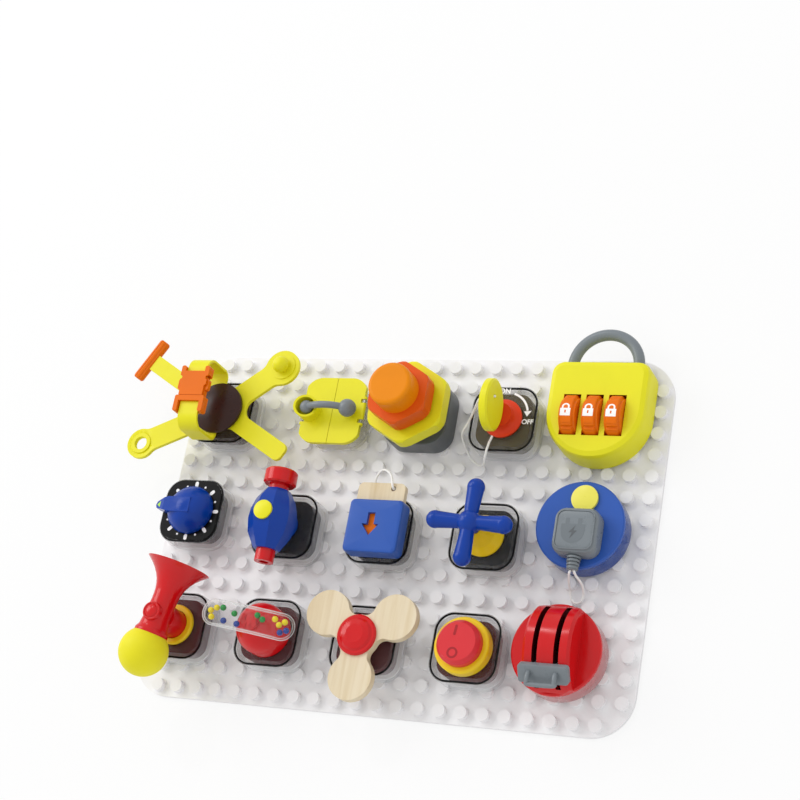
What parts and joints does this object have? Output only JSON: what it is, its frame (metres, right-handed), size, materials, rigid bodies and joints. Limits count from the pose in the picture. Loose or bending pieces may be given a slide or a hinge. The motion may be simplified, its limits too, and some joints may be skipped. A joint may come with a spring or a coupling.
{
  "type": "activity board",
  "caption": "Flat studded play board with clip-on activity modules: straps, latch, bolt, key, padlock, dial, tap, card, handles, horn, rattle, spinner, button and throttle.",
  "frame": {"origin": "centre of the plate's underside, on the surface the board lies on", "axes": "+X along the board's long side to the right, +Y up the board towards the strap, latch and padlock row, +Z out of the board"},
  "size_m": [0.4278, 0.2893, 0.0805],
  "materials": {
    "white_plastic": "glossy",
    "clear_plastic": "clear",
    "dark_plastic": "satin",
    "yellow_plastic": "glossy",
    "orange_plastic": "glossy",
    "blue_plastic": "glossy",
    "red_plastic": "glossy",
    "grey_plastic": "glossy",
    "lime_plastic": "glossy",
    "brown_plastic": "glossy",
    "light_wood": "satin",
    "steel": "brushed",
    "yellow_rubber": "satin",
    "white_string": "matte"
  },
  "bodies": {
    "board": {"base_plate": "white_plastic", "module_feet": "white_plastic", "clear_shells": "clear_plastic", "shell_rims": "dark_plastic", "inner_housings": "dark_plastic", "strap_star": "yellow_plastic", "toggle_bar": "orange_plastic", "belt_upper": "yellow_plastic", "belt_lower": "yellow_plastic", "buckle_socket": "orange_plastic", "strap_badge": "brown_plastic", "latch_box": "clear_plastic", "latch_pins": "steel", "bolt_base": "grey_plastic", "padlock_body": "yellow_plastic", "code_wheel_axle": "steel", "dial_face": "dark_plastic", "card_holder": "blue_plastic", "arrow_plate": "orange_plastic", "cross_cone": "yellow_plastic", "charger_drum": "blue_plastic", "horn_ring": "yellow_plastic", "button_ring": "yellow_plastic", "button_spring": "steel", "throttle_drum": "red_plastic", "throttle_axle": "steel"},
    "buckle_tongue": {"buckle_tongue": "orange_plastic"},
    "latch_door_left": {"latch_door_left": "yellow_plastic"},
    "latch_door_right": {"latch_door_right": "yellow_plastic"},
    "latch_hook": {"latch_hook": "grey_plastic"},
    "yellow_nut": {"yellow_nut": "yellow_plastic"},
    "orange_bolt": {"orange_bolt": "orange_plastic"},
    "key_barrel": {"key_barrel": "orange_plastic", "key_string": "white_string"},
    "key": {"key": "yellow_plastic"},
    "shackle": {"shackle": "grey_plastic"},
    "code_wheel_left": {"code_wheel_left": "orange_plastic"},
    "code_wheel_middle": {"code_wheel_middle": "orange_plastic"},
    "code_wheel_right": {"code_wheel_right": "orange_plastic"},
    "dial": {"dial_knob": "blue_plastic", "dial_pointer": "lime_plastic"},
    "tap": {"tap_body": "blue_plastic", "tap_outlet": "red_plastic"},
    "tap_knob": {"tap_knob": "red_plastic"},
    "tap_button": {"tap_button": "yellow_plastic"},
    "card": {"wooden_card": "light_wood", "card_string": "white_string"},
    "cross_handle": {"cross_handle": "blue_plastic"},
    "charger_button": {"charger_button": "yellow_plastic"},
    "charger_plug": {"charger_plug": "grey_plastic", "charger_string": "white_string"},
    "horn": {"horn_body": "red_plastic", "horn_ball": "yellow_rubber"},
    "rattle": {"rattle_dome": "red_plastic", "rattle_capsule": "clear_plastic", "rattle_beads": "lime_plastic"},
    "spinner": {"spinner_wood": "light_wood", "spinner_cap": "red_plastic"},
    "red_button": {"red_button": "red_plastic"},
    "throttle_handle": {"throttle_handle": "grey_plastic"}
  },
  "joints": [
    {"name": "buckle_release", "type": "slide", "parent": "board", "child": "buckle_tongue", "axis": [0, -1, 0], "range_m": [0, 0.012], "deforming": ["belt_lower"]},
    {"name": "right_door_hinge", "type": "hinge", "parent": "board", "child": "latch_door_right", "pos_m": [-0.03575, 0.084, 0.02475], "axis": [0, 1, 0], "range_deg": [0, 45]},
    {"name": "left_door_hinge", "type": "hinge", "parent": "board", "child": "latch_door_left", "pos_m": [-0.08425, 0.084, 0.02475], "axis": [0, 1, 0], "range_deg": [-45, 0]},
    {"name": "hook_pivot", "type": "hinge", "parent": "latch_door_right", "child": "latch_hook", "pos_m": [-0.0444, 0.083, 0.034], "axis": [0, 1, 0], "range_deg": [0, 50]},
    {"name": "nut_turn", "type": "hinge", "parent": "board", "child": "yellow_nut", "pos_m": [0.008, 0.084, 0.0415], "axis": [0, 0, 1], "continuous": true},
    {"name": "bolt_turn", "type": "hinge", "parent": "board", "child": "orange_bolt", "pos_m": [0.008, 0.084, 0.057], "axis": [0, 0, 1], "continuous": true},
    {"name": "barrel_turn", "type": "hinge", "parent": "board", "child": "key_barrel", "pos_m": [0.076, 0.08, 0.031], "axis": [0, 0, 1], "range_deg": [-90, 0]},
    {"name": "key_slide", "type": "slide", "parent": "key_barrel", "child": "key", "axis": [0, 0, 1], "range_m": [0, 0.014], "deforming": ["key_string"]},
    {"name": "shackle_slide", "type": "slide", "parent": "board", "child": "shackle", "axis": [0, 1, 0], "range_m": [0, 0.011]},
    {"name": "code_wheel_left_turn", "type": "hinge", "parent": "board", "child": "code_wheel_left", "pos_m": [0.1268, 0.083, 0.0245], "axis": [1, 0, 0], "continuous": true},
    {"name": "code_wheel_middle_turn", "type": "hinge", "parent": "board", "child": "code_wheel_middle", "pos_m": [0.1433, 0.083, 0.0245], "axis": [1, 0, 0], "continuous": true},
    {"name": "code_wheel_right_turn", "type": "hinge", "parent": "board", "child": "code_wheel_right", "pos_m": [0.1598, 0.083, 0.0245], "axis": [1, 0, 0], "continuous": true},
    {"name": "dial_turn", "type": "hinge", "parent": "board", "child": "dial", "pos_m": [-0.16, 0, 0.033], "axis": [0, 0, 1], "continuous": true},
    {"name": "tap_swivel", "type": "hinge", "parent": "board", "child": "tap", "pos_m": [-0.08, -0.008, 0.033], "axis": [0, 0, 1], "continuous": true},
    {"name": "tap_knob_turn", "type": "hinge", "parent": "tap", "child": "tap_knob", "pos_m": [-0.08, 0.02, 0.046], "axis": [0, 1, 0], "continuous": true},
    {"name": "tap_button_press", "type": "slide", "parent": "tap", "child": "tap_button", "axis": [0, 0, -1], "range_m": [0, 0.002], "stiffness_N_per_m": 300},
    {"name": "card_slide", "type": "slide", "parent": "board", "child": "card", "axis": [0, 1, 0], "range_m": [0, 0.016]},
    {"name": "cross_turn", "type": "hinge", "parent": "board", "child": "cross_handle", "pos_m": [0.076, -0.008, 0.0565], "axis": [0, 0, 1], "continuous": true},
    {"name": "charger_button_press", "type": "slide", "parent": "board", "child": "charger_button", "axis": [0, 0, -1], "range_m": [0, 0.002], "stiffness_N_per_m": 300},
    {"name": "plug_pull", "type": "slide", "parent": "board", "child": "charger_plug", "axis": [0, 0, 1], "range_m": [0, 0.015]},
    {"name": "horn_swivel", "type": "hinge", "parent": "board", "child": "horn", "pos_m": [-0.152, -0.088, 0.052], "axis": [0, 0, 1], "range_deg": [-15, 60]},
    {"name": "rattle_turn", "type": "hinge", "parent": "board", "child": "rattle", "pos_m": [-0.076, -0.088, 0.043], "axis": [0, 0, 1], "continuous": true},
    {"name": "spinner_turn", "type": "hinge", "parent": "board", "child": "spinner", "pos_m": [0, -0.088, 0.035], "axis": [0, 0, 1], "continuous": true},
    {"name": "red_button_press", "type": "slide", "parent": "board", "child": "red_button", "axis": [0, 0, -1], "range_m": [0, 0.004], "stiffness_N_per_m": 300, "deforming": ["button_spring"]},
    {"name": "throttle_swing", "type": "hinge", "parent": "board", "child": "throttle_handle", "pos_m": [0.14, -0.084, 0.015], "axis": [-1, 0, 0], "range_deg": [0, 60]}
  ],
  "couplings": [
    {"joint": "left_door_hinge", "follows": "right_door_hinge", "ratio": -1}
  ]
}
